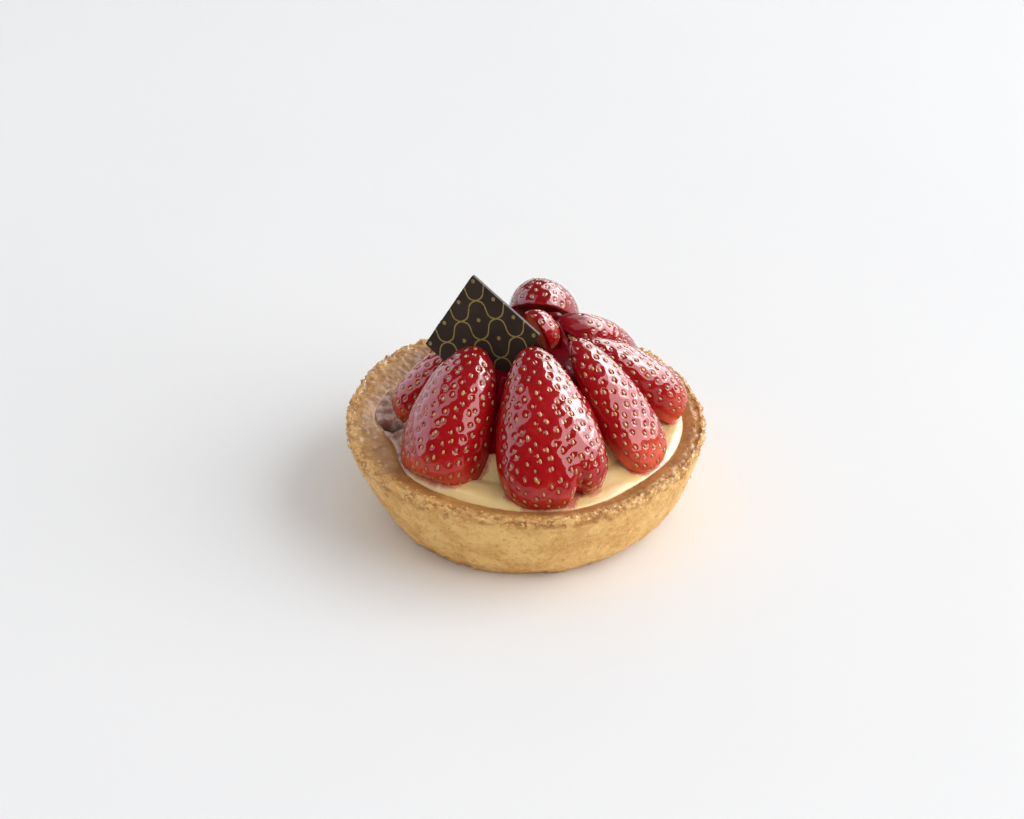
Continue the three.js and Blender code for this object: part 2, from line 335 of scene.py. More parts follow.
def add_piece(name, mesh, finish, attributes=()):
    """Makes a smooth-shaded object at the origin from points in mm, with a number per point per attribute."""
    points, quads, triangles = mesh
    corners = np.concatenate([np.ravel(quads), np.ravel(triangles)]).astype(np.int32)
    sizes = np.concatenate([np.full(len(quads), 4), np.full(len(triangles), 3)])
    mesh = bpy.data.meshes.new(name)
    mesh.vertices.add(len(points))
    mesh.vertices.foreach_set("co", np.float32(points * MM).ravel())
    mesh.loops.add(len(corners))
    mesh.loops.foreach_set("vertex_index", corners)
    mesh.polygons.add(len(sizes))
    mesh.polygons.foreach_set("loop_start", (np.cumsum(sizes) - sizes).astype(np.int32))
    mesh.update(calc_edges=True)
    mesh.polygons.foreach_set("use_smooth", np.ones(len(sizes), dtype=bool))
    for title, values in dict(attributes).items():
        layer = mesh.attributes.new(title, "FLOAT", "POINT")
        layer.data.foreach_set("value", np.float32(values).ravel())
    mesh.materials.append(finish)
    piece = bpy.data.objects.new(name, mesh)
    bpy.context.scene.collection.objects.link(piece)
    return piece


def dress(piece, slot, *nodes):
    """Puts a piece on the tart's one body and hides the solids that it stands for. The slot is not used."""
    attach(piece, "root")
    if nodes:
        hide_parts(*nodes)


def pebble(columns, rows):
    """A ball of radius one with few faces: rings at even steps from pole to pole along X."""
    down = math.pi * (np.arange(rows) + 1)[:, None] / (rows + 1)
    about = TURN * np.arange(columns)[None, :] / columns
    rings = from_polar(np.sin(down), about, np.cos(down))[..., [2, 0, 1]]
    return loft(np.array([1.0, 0, 0]), rings, np.array([-1.0, 0, 0]))


def copies(shape, places, axes, scales):
    """One mesh of many copies of a shape, each scaled along its own three axes, turned to them and moved."""
    points, quads, triangles = shape
    moved = places[:, None, :] + np.einsum("pk,nk,nkj->npj", points, scales, axes)
    shift = len(points) * np.arange(len(places))[:, None, None]
    return moved.reshape(-1, 3), (quads + shift).reshape(-1, 4), (triangles + shift).reshape(-1, 3)


# ---------------- finishes


def opaque(colour):
    """A colour with full alpha, for a socket."""
    return (*colour, 1.0)


class Value:
    """An output of a node. Arithmetic on it adds Math nodes, with a number or a value on either side."""

    def __init__(self, nodes, socket):
        self.nodes = nodes
        self.socket = socket

    def math(self, operation, first, second):
        """A Math node on two values or numbers."""
        return self.nodes.node("ShaderNodeMath", {"operation": operation}, {0: first, 1: second})

    def __add__(self, other):
        return self.math("ADD", self, other)

    def __sub__(self, other):
        return self.math("SUBTRACT", self, other)

    def __rsub__(self, other):
        return self.math("SUBTRACT", other, self)

    def __mul__(self, other):
        return self.math("MULTIPLY", self, other)

    __radd__ = __add__
    __rmul__ = __mul__

    def sine(self):
        """The sine of the value, in radians."""
        return self.math("SINE", self, 0.0)


class Nodes:
    """The node tree of a material or a world, emptied."""

    def __init__(self, owner):
        owner.use_nodes = True
        self.owner = owner
        self.tree = owner.node_tree
        self.tree.nodes.clear()

    def node(self, kind, settings=None, inputs=None, output=0):
        """Adds a node: its settings, then a number, a colour or a value for each named or numbered input."""
        node = self.tree.nodes.new(kind)
        for name, setting in (settings or {}).items():
            setattr(node, name, setting)
        for name, given in (inputs or {}).items():
            if isinstance(given, Value):
                self.tree.links.new(given.socket, node.inputs[name])
            else:
                node.inputs[name].default_value = given
        return Value(self, node.outputs[output]) if node.outputs else None


class Finish(Nodes):
    """A material under construction."""

    def __init__(self, name):
        super().__init__(bpy.data.materials.new(name))
        self.place = self.node("ShaderNodeTexCoord", output="Object")

    def attributes(self, *names):
        """The numbers that the mesh holds for each of its points under these names."""
        return [self.node("ShaderNodeAttribute", {"attribute_name": name}, output="Fac") for name in names]

    def noise(self, size, detail=2.0, roughness=0.5):
        """Cloudy noise from 0 to 1 with lumps of a size in mm."""
        sockets = {"Vector": self.place, "Scale": 1 / (size * MM), "Detail": detail, "Roughness": roughness}
        return self.node("ShaderNodeTexNoise", {}, sockets)

    def ramp(self, value, low, high, start=0.0, end=1.0):
        """start below low and end above high, with a smooth step between."""
        settings = {"interpolation_type": "SMOOTHSTEP", "clamp": True}
        return self.node("ShaderNodeMapRange", settings, {0: value, 1: low, 2: high, 3: start, 4: end})

    def mix(self, share, first, second):
        """A blend of two colours."""
        first, second = (c if isinstance(c, Value) else opaque(c) for c in (first, second))
        return self.node("ShaderNodeMix", {"data_type": "RGBA"}, {0: share, 6: first, 7: second}, output=2)

    def layers(self, colour, *layers):
        """A colour with others laid over it in turn, each given as its share and itself."""
        for share, layer in layers:
            colour = self.mix(share, colour, layer)
        return colour

    def bump(self, height, depth):
        """A normal that follows a height from 0 to 1 standing for a depth in mm."""
        return self.node("ShaderNodeBump", {}, {"Height": height, "Distance": depth * MM})

    def done(self, **sockets):
        """The material, ended in a Principled BSDF with these sockets, underscores for spaces."""
        inputs = {name.replace("_", " "): given for name, given in sockets.items()}
        surface = self.node("ShaderNodeBsdfPrincipled", {}, inputs)
        self.node("ShaderNodeOutputMaterial", {}, {"Surface": surface})
        return self.owner


def crust_finish(look):
    """Baked shortcrust: sandy gold with browner patches, painted shade in its pores and low grain, and a
    glazed brown ridge and slope with painted shade in the ridge's crevices.
    """
    f = Finish("baked_shortcrust")
    relief, ridge, slope, foot = f.attributes("relief", "ridge", "slope", "foot")
    lumps = f.noise(1.8, 4, 0.7)
    sand = f.noise(0.6, 3, 0.75)
    baked = f.ramp(f.noise(5, 4, 0.6), 0.3, 0.7, 0.25, 0.85)
    dough = f.layers(
        look.pale,
        (f.ramp(f.noise(8, 4, 0.6), 0.38, 0.62) * 0.6, look.golden),
        (f.ramp(lumps, 0.52, 0.66) * 0.7, look.pale),
        (f.ramp(lumps, 0.48, 0.34) * 0.7, look.golden),
        (f.ramp(sand, 0.54, 0.68) * 0.6, look.pale),
        (f.ramp(sand, 0.46, 0.32) * 0.3, look.brown),
        # Painted shade: brown where the grain lies lowest, in pores and pits.
        (f.ramp(relief, 0.35, 0.0) * 0.3, look.brown),
        (foot * baked * 0.4, look.brown),
        (ridge * baked * 0.5, look.golden),
        # Painted shade: brown in the low spots between the ridge's crags.
        (f.ramp(relief, 0.6, 0.3) * ridge * 0.75, look.brown),
    )
    glazed = f.layers(look.golden, (baked, look.brown), (f.ramp(lumps, 0.5, 0.7) * 0.45, look.golden))
    glints = ridge * f.ramp(f.noise(1.4, 3), 0.5, 0.6)
    height = f.noise(0.5, 4, 0.7) * (0.5 - 0.4 * slope) + f.noise(1.3, 3) * (0.5 - 0.3 * slope)
    return f.done(
        Base_Color=f.mix(slope * 0.95, dough, glazed),
        Roughness=0.75 - 0.3 * (slope + glints),
        Specular_IOR_Level=0.3,
        Coat_Weight=(slope * f.ramp(lumps, 0.35, 0.6, 0.05, 0.3) + glints) * look.glaze,
        Coat_Roughness=0.2,
        Coat_IOR=1.4,
        Normal=f.bump(height, 0.4),
    )


def cream_finish(look):
    """Set pastry cream: yellow and glossy, stained red by fruit, dull under glaze, with painted shade, dark
    brown, in its gap.
    """
    f = Finish("pastry_cream")
    stain, veil, hollow = f.attributes("stain", "veil", "hollow")
    juice = stain + 0.5 * f.noise(1.6, 3) + 0.3 * f.ramp(f.noise(5, 3), 0.48, 0.62)
    clouded = f.mix(f.ramp(f.noise(2.6, 4, 0.6), 0.36, 0.66), look.veil, look.cloud)
    colour = f.layers(
        look.colour,
        (f.ramp(f.noise(3.2, 3), 0.35, 0.7) * 0.4, look.pale),
        (f.ramp(juice, 0.62, 1.3), look.stain),
        (veil, clouded),
        # Painted shade: dark brown in the gap at the left.
        (hollow, look.deep),
    )
    return f.done(
        Base_Color=colour,
        Roughness=0.42 + 0.35 * veil,
        Specular_IOR_Level=0.3,
        Subsurface_Weight=0.15,
        Subsurface_Radius=(1.0, 0.6, 0.25),
        Subsurface_Scale=1.2 * MM,
        Coat_Weight=look.gloss * (1 - 0.93 * veil),
        Coat_Roughness=0.18,
        Coat_IOR=1.4,
        Normal=f.bump(f.noise(0.9, 3) + 4.0 * veil * f.noise(1.8, 4, 0.6), 0.06),
    )


def berry_finish(look, name, translucence, reach):
    """Ripe strawberry under set glaze: crimson at the tip and orange at the shoulder, with painted shade in
    the dimples and on the bare end.

    Light spreads under its skin for about the reach, in mm."""
    f = Finish(name)
    share, cut, bare, dimple, core, tone = f.attributes("share", "cut", "bare", "dimple", "core", "tone")
    mottling = f.noise(4.5, 4, 0.6)
    skin = f.layers(
        look.shoulder,
        (f.ramp(share + 0.5 * mottling + 0.35 * tone, 0.3, 0.66), look.ripe),
        (f.ramp(share + 0.2 * mottling + 0.6 * tone, 0.62, 0.22) * 0.6, look.blush),
        (f.ramp(f.noise(2.0, 3), 0.52, 0.75) * 0.25, look.shoulder),
        (f.ramp(share + 0.3 * mottling, 0.7, 1.25) * 0.6, look.dark),
        # Painted shade: darker in the dips round the seeds.
        (dimple * 0.45, look.dark),
        # Painted shade: the bare end darker still.
        (bare * 0.55, look.dark),
    )
    inner = f.ramp(core + 0.3 * f.noise(1.0, 3), 1.05, 0.55)
    flesh = f.layers(look.ripe, (inner, look.flesh), (tone, look.ripe))
    return f.done(
        Base_Color=f.mix(cut, skin, flesh),
        Roughness=0.5,
        Specular_IOR_Level=0.02,
        Subsurface_Weight=translucence,
        Subsurface_Radius=(1.0, 0.2, 0.1),
        Subsurface_Scale=reach * MM,
        Coat_Weight=1 - 0.85 * bare,
        Coat_Roughness=0.045,
        Coat_IOR=1.46,
        Normal=f.bump(f.noise(1.1, 4, 0.6), 0.11),
    )


def seed_finish(look):
    """Strawberry seeds: golden straw, some browner, glazed like the skin around them."""
    f = Finish("strawberry_seed")
    [tone] = f.attributes("tone")
    blotches = f.ramp(f.noise(0.5, 2), 0.45, 0.75) * 0.4
    colour = f.layers(look.seed, (tone, look.seed_brown), (blotches, look.seed_brown))
    return f.done(Base_Color=colour, Roughness=0.45, Coat_Weight=0.5, Coat_Roughness=0.1, Coat_IOR=1.4)


def glaze_finish(look):
    """Set glaze, deep and dark red where it has run together between the berries, in part painted shade of
    the clefts that it fills.
    """
    f = Finish("pooled_glaze")
    return f.done(
        # Painted shade in part: the glaze's dark red stands for the shade of the clefts as well as its own
        # colour.
        Base_Color=f.mix(f.ramp(f.noise(3, 2), 0.3, 0.7), look.pool, look.dark),
        Roughness=0.5,
        Specular_IOR_Level=0.02,
        Coat_Weight=f.ramp(f.noise(2.5, 3), 0.52, 0.64, 0.04, 0.5),
        Coat_Roughness=0.06,
        Coat_IOR=1.45,
        Normal=f.bump(f.noise(1.2, 3), 0.12),
    )


def plaque_finish(look):
    """Dark chocolate with a fine gold lattice of gently waving lines and a dot in each of its squares."""
    f = Finish("printed_chocolate")
    across, down, face = f.attributes("across", "down", "face")
    period, half_line = look.lattice / MM, look.line / MM / 2

    def waved(value, along):
        """The value with a sine wave added to it, one period long."""
        return value + 0.1 * period * (along * (TURN / period)).sine()

    def away(value, offset=0.0):
        """How far a value is from the nearest multiple of the period, in mm."""
        return f.node("ShaderNodeMath", {"operation": "PINGPONG"}, {0: value + offset, 1: period / 2})

    waves = (waved(across, down), waved(down, across))
    lines = [f.ramp(away(wave), half_line, half_line + 0.09, 1.0, 0.0) for wave in waves]
    a, b = away(across, period / 2), away(down, period / 2)
    dot = f.ramp(a * a + b * b, 0.2, 0.34, 1.0, 0.0)
    worn = f.ramp(f.noise(0.7, 3), 0.3, 0.45, 0.35, 1.0)
    gold = (1 - (1 - lines[0]) * (1 - lines[1]) * (1 - dot)) * worn * face
    bloom = f.ramp(f.noise(6, 4), 0.35, 0.7) * 0.6
    return f.done(
        Base_Color=f.layers(look.chocolate, (bloom, look.bloom), (gold, look.gold)),
        Metallic=gold * 0.5,
        Roughness=0.55 - 0.1 * gold,
        Specular_IOR_Level=0.2,
        Normal=f.bump(f.noise(1.2, 3) * 0.3 + gold, 0.03),
    )


def floor_finish(look):
    """A pale satin table top with the faintest cloudiness."""
    f = Finish("pale_table")
    shade = f.ramp(f.noise(160, 2), 0.3, 0.7)
    warm = tuple(0.985 * c for c in look.floor)
    return f.done(Base_Color=f.mix(shade, look.floor, warm), Roughness=0.7, Specular_IOR_Level=0.05)


# ---------------- the case


def out_of_round(angle):
    """How far the rim stands outside a circle: waves of two and five lobes, and a bulge of (1 + cos)^2."""
    waves = 0.5 * np.sin(2 * angle + 0.6) + 0.35 * np.sin(5 * angle + 2.1)
    return waves + FRONT_BULGE * ((1 + np.cos(angle - BULGE_AZIMUTH)) / 2) ** 2


def out_of_level(angle):
    """How far the rim stands above its mean height: a tilt and a three-lobed wave."""
    return 0.9 * np.sin(angle - 1) + 0.25 * np.sin(3 * angle + 0.4)


def cream_edge(angle):
    """How far from the axis the cream ends: the mean of its table at seven angles within nine degrees."""
    azimuth, radius = np.array(CREAM_EDGE).T
    nudges = range(-9, 10, 3)
    return sum(np.interp(np.degrees(angle) + nudge, azimuth, radius, period=360) for nudge in nudges) / 7


def case_profile():
    """The case's surface before its relief, as rings from under its middle over the rim to its inside.

    The wall is the straight line from base to rim plus a swell of sin(pi t^0.55), more of it towards +X. A
    quarter circle makes its corner and another its crest, and the inner slope drops by t^1.2 to the cream.
    Returns the rings and, for each, which part it belongs to and how far along that part it is."""
    angle = TURN * np.arange(CASE_COLUMNS)[None, :] / CASE_COLUMNS
    wave = out_of_round(angle)
    inset, top = RIM_RADIUS - CREST_WIDTH, CASE_HEIGHT - CREST_WIDTH
    under_cream = cream_edge(angle) - 0.9
    rings, part_of, share_of = [], [], []
    for part, rows in CASE_ROWS.items():
        t = (np.arange(rows)[:, None] + 1) / rows
        quarter = t * math.pi / 2
        if part == "base":
            radius, height, share = (BASE_RADIUS - BASE_CORNER) * t**0.5, 0 * t, 0 * t
        elif part == "corner":
            radius = BASE_RADIUS - BASE_CORNER * (1 - np.sin(quarter))
            height, share = BASE_CORNER * (1 - np.cos(quarter)), 0 * t
        elif part == "wall":
            swell = (WALL_BULGE + WALL_LOPSIDED * (1 + np.cos(angle))) * np.sin(math.pi * t**0.55)
            radius = mix(BASE_RADIUS, RIM_RADIUS, t) + swell + t * wave
            height, share = mix(BASE_CORNER, top, t), t
        elif part == "crest":
            radius = inset + CREST_WIDTH * np.cos(quarter) + wave
            height, share = top + CREST_WIDTH * np.sin(quarter), 1 + 0 * t
        elif part == "slope":
            radius = mix(inset + wave, under_cream, t)
            lip, dive = 0.3 * smooth(0, 0.12, t), 0.6 * smooth(0.8, 1, t)
            height, share = CASE_HEIGHT - lip - (BEVEL_DROP - 0.3) * t**1.2 - dive, 1 + 0 * t
        else:
            radius = mix(under_cream, FLOOR_RADIUS, t)
            height, share = mix(CREAM_HEIGHT - 0.6, FLOOR_THICKNESS, t**0.7), 1 - t
        rings.append(from_polar(radius, angle, height + share * out_of_level(angle)))
        part_of += [part] * rows
        share_of += list(t[:, 0])
    return np.concatenate(rings), np.array(part_of), np.array(share_of)


def case_relief(points, part, share):
    """Pastry relief in mm: soft dents, sandy grains, pores, a chipped foot and a broken crest.

    All of it sits a little inwards. Returns it with how raised the grain is, from 0 to 1, and how near each
    ring is to the foot and to the crest."""
    names = ("corner", "wall", "crest", "slope")
    corner, wall, crest, slope = ((part == name)[:, None] * 1.0 for name in names)
    share = share[:, None]
    near_foot = corner + wall * smooth(0.16, 0, share)
    near_crest = crest + wall * smooth(0.86, 0.97, share) + slope * smooth(0.4, 0.1, share)
    rough = corner + wall + crest + 0.5 * slope
    dents = cloudy(points, 12, 2, 11)
    grains = cloudy(points, 1.6, 3, 23)
    sand = 0.5 - cell_distance(points, 1.1, 37)
    pores = smooth(0.28, 0.12, cell_distance(points, 2.9, 41)) * smooth(0.0, 0.5, cloudy(points, 5, 2, 43))
    chips = smooth(0.15, 0.6, cloudy(points, 4, 3, 51))
    crags = 0.5 * cloudy(points, 2.4, 3, 61) + 1.1 * (0.45 - cell_distance(points, 2.0, 67))
    relief = 0.25 * dents + rough * (0.2 * grains + 0.22 * sand - 0.16 * pores) - 0.18
    relief = relief - 0.8 * chips * near_foot + near_crest * (0.85 * crags - 0.3)
    fine = 0.5 + 0.32 * grains + 0.3 * sand - 0.3 * pores
    return relief, np.clip(fine, 0, 1), near_foot, near_crest


def bake_case(look):
    """The pastry case: its profile turned round the axis and pushed in and out by its relief."""
    points, part, share = case_profile()
    relief, fine, near_foot, near_crest = case_relief(points, part, share)
    shown = ~np.isin(part, ("base", "inside"))[:, None]
    normals = grid_normals(points)
    points = inside_box(points + normals * (relief * shown)[..., None])
    slope = (part == "slope")[:, None] * (1 - near_crest)
    # relief, how raised the grain is, sets where the finish paints shade in pores and crevices.
    fields = {"relief": fine, "ridge": near_crest, "slope": slope, "foot": near_foot}
    attributes = {
        name: capped(np.broadcast_to(values, points.shape[:2]), 0.5, 0.5) for name, values in fields.items()
    }
    finish = crust_finish(look)
    mesh = loft(np.zeros(3), points, np.array([0, 0, FLOOR_THICKNESS]))
    dress(add_piece("crust", mesh, finish, attributes), "shortcrust", "pastry_case")
    scatter_crumbs(points, normals, part, share, finish)


def scatter_crumbs(points, normals, part, share, finish):
    """Loose crumbs: squashed pebbles of 0.3 to 1 mm, sunk a third into crest and, fewer, wall and slope."""
    random = np.random.default_rng(19)
    places = (
        (900, (part == "crest") | (part == "wall") & (share > 0.95)),
        (300, (part == "wall") & (share > 0.82)),
        (260, (part == "wall") & (share < 0.82)),
        (350, (part == "slope") & (share < 0.4)),
    )
    rows = np.concatenate([random.choice(np.flatnonzero(rings), count) for count, rings in places])
    columns = random.integers(0, points.shape[1], len(rows))
    size = 0.17 + 0.36 * random.random((len(rows), 1)) ** 2.5
    normal = normals[rows, columns]
    centres = points[rows, columns] - 0.3 * size * normal
    first = unit(np.cross(normal, random.normal(size=normal.shape)))
    axes = np.stack([first, np.cross(normal, first), normal], axis=1)
    scales = size * (0.7 + 0.6 * random.random((len(size), 3)))
    points, *faces = copies(pebble(5, 2), centres, axes, scales)
    points = inside_box(points + 0.08 * random.normal(size=points.shape))
    tones = {"relief": 0.8, "ridge": 0.7, "slope": 0.0, "foot": 0.0}
    attributes = {name: np.full(len(points), tone) for name, tone in tones.items()}
    piece = add_piece("crumbs", (points, *faces), finish, attributes)
    piece.data.polygons.foreach_set("use_smooth", np.zeros(len(piece.data.polygons), dtype=bool))
    dress(piece, "shortcrust")


# ---------------- the strawberries


def half_axes(half):
    """The shoulder's place on the cream and the half's own axes: along to its tip, across and outwards."""
    foot = math.radians(half.azimuth)
    heading = foot + math.pi + math.radians(half.yaw)
    lean = math.radians(half.lean)
    inwards = np.array([math.cos(heading), math.sin(heading), 0])
    up = np.array([0, 0, 1.0])
    along = inwards * math.cos(lean) + up * math.sin(lean)
    out = up * math.cos(lean) - inwards * math.sin(lean)
    origin = np.array([half.radius * math.cos(foot), half.radius * math.sin(foot), half.height])
    return origin, np.stack([along, np.cross(out, along), out])


def half_girth(half, turn):
    """The half's width at a turn from 0 at the stem to pi at the tip, as a share of its widest.

    It is a sine to the power of the half's bluntness, which passes into the tip's, and tapered."""
    power = mix(half.blunt, TIP_BLUNT, (1 - np.cos(turn)) / 2)
    girth = np.maximum(np.sin(turn), 0) ** power
    return girth * (1 + half.taper * np.cos(turn)) / (1 + 0.45 * half.taper**2)


def half_length(half, turn):
    """How far along the half a turn lies, in mm from where the stem end was cut."""
    start = (1 - math.cos(math.pi * STEM_CUT)) / 2
    return half.long * ((1 - np.cos(turn)) / 2 - start) / (1 - start)


def set_back(half, x, y):
    """How far along the half its points lie once its shoulder is set back at one side and notched.

    The step is smooth and the notch a bell curve across it, and both fade as the cube towards the tip."""
    side = -2 * y / half.wide
    back = half.lobe * smooth(*half.step, side) + half.notch * bell(side, 0.33, 0.15)
    return x + back * (1 - np.clip(x / half.long, 0, 1)) ** 3


def half_skin(half, turn, angle):
    """Points of the domed skin in the half's own axes, from one cut edge, angle 0, to the other, at pi.

    Each section is as wide as the girth times a cosine and as high as it times a sine, with faint lumps."""
    girth = half_girth(half, turn)
    lump = 1 + 0.03 * np.sin(3 * angle + half.azimuth) * np.sin(2.4 * turn)
    y = half.wide / 2 * girth * lump * np.cos(angle)
    dome = np.maximum(np.sin(angle), 0) ** half.press * (1 + half.skew * np.cos(angle))
    z = half.deep * girth * lump * dome
    return np.stack([set_back(half, half_length(half, turn), y), y, z], axis=-1)


def half_rings(half):
    """Whole sections of a half: its skin, a rounded edge, its flat cut face and the other edge.

    Each section is drawn smaller by the edge's radius and then grown by it along its own outward direction,
    which turns through a quarter circle at each edge. Returns the points, how far each is onto the cut face
    and its turn."""
    turn = math.pi * ((np.arange(BERRY_ROWS)[:, None] + 0.7) / (BERRY_ROWS + 0.4)) ** 1.25
    girth = half_girth(half, turn)
    radius = np.minimum(EDGE_RADIUS, 0.22 * half.deep * girth)
    angle = math.pi * np.arange(SKIN_COLUMNS)[None, :] / (SKIN_COLUMNS - 1)
    shrink_y, shrink_z = 1 - radius / (half.wide / 2 * girth), 1 - 2 * radius / (half.deep * girth)
    skin = half_skin(half, turn, angle)
    across, up = half.deep * np.cos(angle), half.wide / 2 * np.sin(angle)
    facing = unit(np.stack(np.broadcast_arrays(across, up + 0 * turn), -1))
    drawn = np.stack([skin[..., 1] * shrink_y, radius + skin[..., 2] * shrink_z], -1)
    dome_yz = drawn + radius[..., None] * facing
    bend = math.pi / 2 * (np.arange(EDGE_COLUMNS)[None, :] + 1) / (EDGE_COLUMNS + 1)
    far, near = dome_yz[:, -1:, 0], dome_yz[:, :1, 0]
    far_edge = np.stack([far + radius * (1 - np.cos(bend)), radius * (1 - np.sin(bend))], -1)
    near_edge = np.stack([near - radius * (1 - np.sin(bend)), radius * (1 - np.cos(bend))], -1)
    share = np.arange(FACE_COLUMNS)[None, :] / (FACE_COLUMNS - 1)
    dish = 0.25 * girth * np.sin(math.pi * share) ** 0.5
    flat_yz = np.stack([mix(far + radius, near - radius, share), dish], -1)
    yz = np.concatenate([dome_yz, far_edge, flat_yz, near_edge], axis=1)
    x = set_back(half, half_length(half, turn), yz[..., 0])
    turned = np.linspace(0, 1, EDGE_COLUMNS + 2)[1:-1]
    cut = np.concatenate([np.zeros(SKIN_COLUMNS), turned, np.ones(FACE_COLUMNS), turned[::-1]])
    return np.concatenate([x[..., None], yz], axis=-1), cut * np.ones_like(turn), turn


def seed_places(half, spacing):
    """Where the seeds sit, as turns and angles on the skin.

    Seeds are laid in equal steps of skin area from stem to tip, each a golden turn further round the whole
    berry, and those on the half's own side are kept, clear of its cut edge and its bare end."""
    turn = np.linspace(0, math.pi, 400)
    skin = half_skin(half, turn[:, None], np.linspace(0, math.pi, 60)[None, :])
    around = np.linalg.norm(np.diff(skin, axis=1), axis=-1).sum(1)
    step = np.linalg.norm(np.gradient(skin[:, 30], axis=0), axis=-1)
    area = 2 * np.cumsum(around * step)
    count = int(area[-1] / (SEED_PACKING * spacing**2))
    number = np.arange(count) + 0.5
    random = np.random.default_rng(int(half.azimuth) + 7)
    seed_turn = np.interp(number / count * area[-1], area, turn) + 0.02 * random.normal(size=count)
    seed_angle = (number * GOLDEN_TURN + half.azimuth) % TURN + 0.05 * random.normal(size=count)
    kept = (seed_angle > SEED_MARGIN) & (seed_angle < math.pi - SEED_MARGIN)
    kept = kept & (seed_turn > 0.12) & (seed_turn < math.pi - 0.1)
    kept = kept & (half_length(half, seed_turn) < half.bare * half.long)
    return seed_turn[kept], seed_angle[kept]


def skin_frame(half, turn, angle):
    """Points on the skin and the directions towards the tip, round the berry and outwards, by small steps."""
    step = 1e-3
    here = half_skin(half, turn, angle)
    tipwards = unit(half_skin(half, turn + step, angle) - here)
    outwards = unit(np.cross(tipwards, half_skin(half, turn, angle + step) - here))
    outwards = outwards * np.sign((outwards * (here - [half.long / 2, 0, 0])).sum(-1, keepdims=True))
    return here, np.stack([tipwards, np.cross(outwards, tipwards), outwards], axis=-2)


def berry_relief(half, points, nearest):
    """How far the glazed skin stands out, in mm.

    It swells between seeds, dips round each with a faint rim to the dip, rolls in broad soft lumps, and is
    ruffled along its right side where the glaze ran."""
    swell = 0.12 * smooth(0.5, 1.8, nearest)
    rim = 0.05 * bell(nearest, 0.95, 0.28)
    dip = -0.19 * bell(nearest, 0, 0.62)
    moved = points + np.array([half.azimuth, 3.7 * half.azimuth, 0])
    lumps = 0.16 * cloudy(moved, 10, 2, 71)
    right = smooth(-0.1, 0.35, -2 * points[..., 1] / half.wide)
    ruffles = half.wavy * (0.04 + 0.16 * right) * cloudy(moved * [0.5, 1, 1], 2.6, 2, 73)
    return swell + rim + dip + lumps + ruffles - 0.18


class Berry(NamedTuple):
    """A strawberry as it lies: its mesh, the numbers its finish reads, its domed skin and its seeds."""

    mesh: tuple
    attributes: dict
    dome: np.ndarray
    seeds: np.ndarray
    axes: np.ndarray


@functools.cache
def shape_berry(half, spacing):
    """One strawberry: its closed sections, pushed out or in along their normals by the skin's relief."""
    points, cut, turn = half_rings(half)
    seeds, axes = skin_frame(half, *seed_places(half, spacing))
    nearest = distances(points, seeds).min(-1)
    on_skin = 1 - smooth(0, 0.8, cut)
    ends = smooth(0, 0.12, turn) * smooth(math.pi, math.pi - 0.12, turn)
    relief = berry_relief(half, points, nearest) * on_skin * ends
    normals = grid_normals(points)
    away = points - np.array([half.long / 2, 0, half.deep / 3])
    normals = normals * np.sign((normals * away).sum())
    points = points + normals * relief[..., None]
    share = points[..., 0] / half.long
    fields = {
        "share": share,
        "cut": cut,
        # The bare end also carries painted shade in the finish.
        "bare": smooth(half.bare - 0.1, half.bare + 0.02, share),
        # The dips round the seeds are marked for painted shade.
        "dimple": bell(nearest, 0, 0.85) * on_skin,
        "core": np.abs(points[..., 1]) / (half.wide / 2 * half_girth(half, turn)),
        "tone": np.full_like(cut, half.ripeness),
    }
    attributes = {name: capped(grid, grid[0].mean(), grid[-1].mean()) for name, grid in fields.items()}
    origin, own = half_axes(half)
    first, last = (origin + np.array([half_length(half, end), 0, 0.3]) @ own for end in (0.0, math.pi))
    world = origin + points @ own
    lifted = seeds + axes[:, 2] * berry_relief(half, seeds, np.zeros(len(seeds)))[:, None]
    dome = world[:, :SKIN_COLUMNS]
    return Berry(loft(first, world, last), attributes, dome, origin + lifted @ own, axes @ own)


def shaped_berries(look):
    """All the strawberries' shapes, worked out once for the fruit, the cream and the glaze."""
    return [shape_berry(half, look.seed_spacing / MM) for half in HALVES]


def domes(look):
    """All the strawberries' domed skins."""
    return [berry.dome for berry in shaped_berries(look)]


def lay_berries(look):
    """The halves and the wedge, which is cut thinner and lets more light through."""
    thick = berry_finish(look, "glazed_strawberry", look.translucence, 1.0)
    thin = berry_finish(look, "glazed_wedge", 0.6, 4.0)
    for half, berry in zip(HALVES, shaped_berries(look)):
        finish = thin if half.name == "middle" else thick
        piece = add_piece(f"berry_{half.name}", berry.mesh, finish, berry.attributes)
        dress(piece, "strawberry", f"strawberry_{half.name}")


def sow_seeds(look):
    """All the seeds: pebbles drawn out towards the tip, narrower at that end, half sunk in their dimples."""
    berries = shaped_berries(look)
    places = np.concatenate([berry.seeds for berry in berries])
    axes = np.concatenate([berry.axes for berry in berries])
    random = np.random.default_rng(5)
    points, *faces = pebble(7, 4)
    points[:, 1:] *= (1 - 0.28 * points[:, :1]) * 0.95
    length = look.seed_length / MM / 2
    scales = np.array([length, 0.66 * length, 0.5 * length]) * (0.8 + 0.4 * random.random((len(places), 1)))
    mesh = copies((points, *faces), places + axes[:, 2] * 0.08, axes, scales)
    tone = np.repeat(random.random(len(places)) ** 1.6, len(points))
    dress(add_piece("strawberry_seeds", mesh, seed_finish(look), {"tone": tone}), "strawberry")


# ---------------- cream and glaze


def cream_top(radius, edge):
    """The cream's height: a rounded lip inside its edge, then a cone whose top is rounded off by a tanh."""
    lip = CREAM_HEIGHT + CREAM_SWELL * np.sin(math.pi / 2 * np.clip((edge - radius) / 4, 0, 1)) ** 0.7
    height = np.maximum(lip, CREAM_HEIGHT + (MOUND_FOOT_RADIUS - radius) * MOUND_SLOPE)
    shoulder = MOUND_TOP - 3
    return np.where(height > shoulder, shoulder + 3 * np.tanh((height - shoulder) / 3), height)


